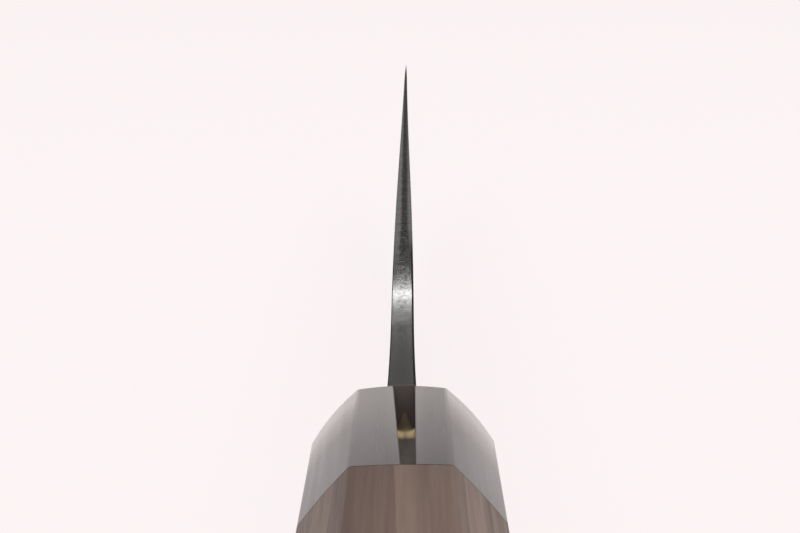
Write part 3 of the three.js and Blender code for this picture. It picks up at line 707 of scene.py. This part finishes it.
def grip_sides():
    """Outside and bore of the grip. The outside rounds over a rim and closes on a low dome at the butt,
    the bore runs in and closes on a flat end. Also gives how far each row has turned on to the end
    grain."""
    rim_t, rim_inset = rim_rows(BUTT_RIM, BUTT_RIM_COUNT)
    dome = np.linspace(1, 0, DOME_COUNT + 1)[1:]
    length_t = np.linspace(GRIP_FRONT + FRONT_BREAK, HANDLE_LENGTH - 2 * BUTT_RIM, LENGTH_COUNT)
    butt_t = np.concatenate([HANDLE_LENGTH - rim_t[::-1], HANDLE_LENGTH + 0 * dome])
    t = np.concatenate([[GRIP_FRONT], length_t, butt_t])[:, None]
    inset = np.concatenate([[FRONT_BREAK], 0 * length_t, rim_inset[::-1], BUTT_RIM + 0 * dome])[:, None]
    shrink = np.concatenate([np.ones(len(t) - len(dome)), dome])[:, None]
    x, z = octagon(t, inset)
    outer = grid(x * shrink, -t - BUTT_DOME * (1 - shrink**2), z * shrink)
    along = 2 * np.linspace(0, 1, len(t))[:, None]
    angle = np.arctan2(x[:1], z[:1])
    radius = BORE_RADIUS * np.clip(2 - along, 0, 1)
    depth = mixed(GRIP_FRONT, BORE_END, np.clip(along, 0, 1))
    bore = grid(radius * np.sin(angle), -depth, radius * np.cos(angle))
    return outer, bore, np.clip(END_GAIN * inset / BUTT_RIM + 1 - END_GAIN, 0, 1)


# The growth rings lie round a pith beside and below the handle, stretched along it. A wave texture turns
# by 20 radians over each unit of its scale.
PITH_SHIFT, RING_STRETCH, RING_SPACING, WAVE_TURN = (-0.03, 0.0, 0.055), (1, 0.03, 1), 0.0034, 20
RING_WAVES = {"Scale": 2 * math.pi / (WAVE_TURN * RING_SPACING), "Distortion": 5.0,
              "Detail": 3.0, "Detail Scale": 0.5, "Detail Roughness": 0.6}
WOOD_SWAY, WOOD_FIGURE = ((30, 8, 30), 2.0, 0.5), ((210, 9, 210), 5.0, 0.6)
WOOD_PORES, PORE_STRENGTH, PORE_DEPTH = ((2400, 60, 2400), 3.0, 0.6), 0.5, 0.03
END_FIGURE, RING_AMOUNT, PORE_AMOUNT, WOOD_CREST_AMOUNT, END_AMOUNT = 0.5, 0.07, 0.08, 0.03, -0.07
WALNUT_PLACES = 0.2, 0.335, 0.48
WALNUT_TONES = (0.078, 0.05, 0.039), (0.155, 0.107, 0.084), (0.23, 0.164, 0.131)
WALNUT_ROUGHNESS, WALNUT_SPECULAR = (0.55, 0.42), 0.3
outside, inside, on_end = grip_sides()
walnut_grip = slab("walnut_grip", outside, inside, {"crest": (CREST, 0.0), "end": (on_end, 0.0)}, wrap=True,
                   caps=(True, False))
walnut, tree, surface = finish("oiled walnut")
pores = stretched_noise(tree, *WOOD_PORES)
end = attribute(tree, "end")
place = node(tree, "TexCoord", output="Object")
about_pith = node(tree, "Mapping", {"Vector": place, "Location": PITH_SHIFT, "Scale": RING_STRETCH})
rings = node(tree, "TexWave", {"Vector": about_pith, **RING_WAVES}, "Fac",
             wave_type="RINGS", rings_direction="Y", wave_profile="SAW")
figure = blend(tree, end, stretched_noise(tree, *WOOD_FIGURE), END_FIGURE)
tone = node(tree, "Math", {0: figure, 1: stretched_noise(tree, *WOOD_SWAY)}, operation="MULTIPLY")
tone = added(tree, tone, rings, RING_AMOUNT)
tone = added(tree, tone, pores, PORE_AMOUNT)
# The eased corners between the facets are drawn a little lighter.
tone = added(tree, tone, attribute(tree, "crest"), WOOD_CREST_AMOUNT)
tone = added(tree, tone, end, END_AMOUNT)
relief = {"Height": pores, "Strength": PORE_STRENGTH, "Distance": PORE_DEPTH * MM}
fill(tree, surface, {"Base Color": ramp(tree, tone, WALNUT_PLACES, WALNUT_TONES),
                     "Roughness": ramp(tree, pores, NOISE_SPREAD, WALNUT_ROUGHNESS),
                     "Specular IOR Level": WALNUT_SPECULAR,
                     "Normal": node(tree, "Bump", relief)})
walnut_grip.data.materials.append(walnut)
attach(walnut_grip, "root")
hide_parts("handle_grip")

# Floor: one pale sheet under the knife, lit evenly from below as a shooting table is, so that the ground
# stays white to its far end and keeps a faint shadow.
FLOOR_HALF, FLOOR_COLOUR, FLOOR_GLOW, FLOOR_ROUGHNESS = 4.0, (0.947, 0.888, 0.888, 1.0), 0.9, 0.9


def flat_sheet(name, corners, material):
    """A flat sheet between four corners, in metres."""
    mesh = bpy.data.meshes.new(name)
    mesh.from_pydata(corners, [], [(0, 1, 2, 3)])
    mesh.materials.append(material)
    made = bpy.data.objects.new(name, mesh)
    bpy.context.scene.collection.objects.link(made)
    return made


def looked_at(tree):
    """1 for rays that show a surface in the picture or in a mirror, 0 for those that only carry light."""
    path = tree.nodes.new("ShaderNodeLightPath").outputs
    seen = node(tree, "Math", {0: path["Is Camera Ray"], 1: path["Is Glossy Ray"]}, operation="MAXIMUM")
    return node(tree, "Math", {0: seen, 1: path["Is Transmission Ray"]}, operation="MAXIMUM")


pale_sheet, tree, surface = finish("pale floor sheet")
fill(tree, surface, {"Base Color": FLOOR_COLOUR, "Roughness": FLOOR_ROUGHNESS})
glow = node(tree, "Emission", {"Color": FLOOR_COLOUR})
share = node(tree, "Math", {0: looked_at(tree), 1: FLOOR_GLOW}, operation="MULTIPLY")
both = node(tree, "MixShader", {0: share, 1: surface.outputs["BSDF"], 2: glow})
fill(tree, tree.nodes["Material Output"], {"Surface": both})
pale_sheet.cycles.emission_sampling = "NONE"
floor_corners = [(FLOOR_HALF * x, FLOOR_HALF * y, 0) for x, y in ((-1, -1), (1, -1), (1, 1), (-1, 1))]
pale_floor = flat_sheet("pale_floor", floor_corners, pale_sheet)

# Card: a dark board set up beyond the tip, unseen by the camera, which the spine mirrors. It glows as a light
# panel: black in the middle, a little to the right, which gives the dark middle of the spine, and glowing
# grey to both sides, which gives its lighter shoulders. A glowing pale band across its upper half is mirrored
# by the flat neck.
CARD_HALF, CARD_PLACE, CARD_HEIGHT, CARD_MIDDLE = 0.5, 0.78, 0.6, 0.012
WING_PLACES, WING_TONES = (0.056, 0.15, 0.5), (0.0, 0.145, 0.175)
BAND_PLACES, BAND_TONES = (0.52, 0.532, 0.565, 0.62), (0.0, 0.26, 0.085, 0.05)
FELT_COLOUR = 0.05, 0.05, 0.048, 1.0
glowing_card_finish, tree, surface = finish("glowing graded card")
aside = node(tree, "Math", {0: own_place(tree, "X"), 1: CARD_MIDDLE}, operation="SUBTRACT")
aside = node(tree, "Math", {0: aside}, operation="ABSOLUTE")
wings = ramp(tree, node(tree, "MapRange", {0: aside, 2: CARD_HALF}), WING_PLACES, WING_TONES)
band = ramp(tree, node(tree, "MapRange", {0: own_place(tree, "Z"), 2: CARD_HEIGHT}), BAND_PLACES, BAND_TONES)
lighter = node(tree, "Mix", {0: 1.0, 6: wings, 7: band}, 2, data_type="RGBA", blend_type="LIGHTEN")
fill(tree, surface, {"Base Color": FELT_COLOUR, "Roughness": 1.0, "Emission Color": lighter,
                     "Emission Strength": 1.0})
glowing_card_finish.cycles.emission_sampling = "NONE"
card_sides = ((-1, 0), (1, 0), (1, 1), (-1, 1))
card_corners = [(CARD_HALF * x, CARD_PLACE, CARD_HEIGHT * z) for x, z in card_sides]
graded_card = flat_sheet("graded_card", card_corners, glowing_card_finish)
graded_card.visible_camera = False

# Light: an even sky, a wide softbox overhead, and a thin strip lamp beyond the tip, which stands in front
# of the card and gives the glint on the spine.
SKY_COLOUR, SKY_STRENGTH = (1.0, 0.97, 0.965, 1.0), 0.45
world = bpy.data.worlds.new("studio")
world.use_nodes = True
tree = world.node_tree
sky = tree.nodes["Background"]
fill(tree, sky, {"Color": SKY_COLOUR, "Strength": SKY_STRENGTH})
backdrop = node(tree, "Background", {"Color": FLOOR_COLOUR, "Strength": 1.0})
both = node(tree, "MixShader", {0: looked_at(tree), 1: sky.outputs["Background"], 2: backdrop})
fill(tree, tree.nodes["World Output"], {"Surface": both})
bpy.context.scene.world = world


def lamp(name, place, target, size, power):
    """A rectangular lamp at a place, turned to face a target."""
    light = bpy.data.lights.new(name, "AREA")
    light.shape = "RECTANGLE"
    light.size, light.size_y = size
    light.energy = power
    made = bpy.data.objects.new(name, light)
    made.location = place
    made.rotation_euler = (Vector(target) - Vector(place)).to_track_quat("-Z", "Y").to_euler()
    made.visible_camera = False
    bpy.context.scene.collection.objects.link(made)


NECK_PLACE = (0, FERRULE_FRONT * MM, 0.049)
lamp("softbox", place=(0, -0.1, 1.4), target=(0, 0, 0), size=(2.2, 2.2), power=29.0)
lamp("strip", place=(0, 0.70, 0.2892), target=NECK_PLACE, size=(0.2, 0.0068), power=0.0163)

# Camera: behind and above the handle, looking along the spine to the tip. It was fitted to the ferrule's
# edges, the handle's taper and the tip in the photograph.
CAMERA_PLACE = (0.001756, -0.21144, 0.11344)
CAMERA_PITCH, CAMERA_YAW, CAMERA_ROLL = 0.3176, -0.01104, -0.0196
FOCAL_PIXELS, PHOTO_WIDTH, SENSOR, NEAREST = 1507.9, 800, 36.0, 0.005
forward, fall = math.cos(CAMERA_PITCH), math.sin(CAMERA_PITCH)
ahead = Vector((math.sin(CAMERA_YAW) * forward, math.cos(CAMERA_YAW) * forward, -fall))
level = Vector((math.cos(CAMERA_YAW), -math.sin(CAMERA_YAW), 0))
upward = level.cross(ahead)
right = level * math.cos(CAMERA_ROLL) + upward * math.sin(CAMERA_ROLL)
up = upward * math.cos(CAMERA_ROLL) - level * math.sin(CAMERA_ROLL)
view = bpy.data.cameras.new("camera")
view.sensor_width = SENSOR
view.lens = FOCAL_PIXELS / PHOTO_WIDTH * SENSOR
view.clip_start = NEAREST
camera = bpy.data.objects.new("camera", view)
camera.matrix_world = Matrix.Translation(CAMERA_PLACE) @ Matrix((right, up, -ahead)).transposed().to_4x4()
bpy.context.scene.collection.objects.link(camera)
bpy.context.scene.camera = camera
bpy.context.scene.view_settings.view_transform = "Standard"
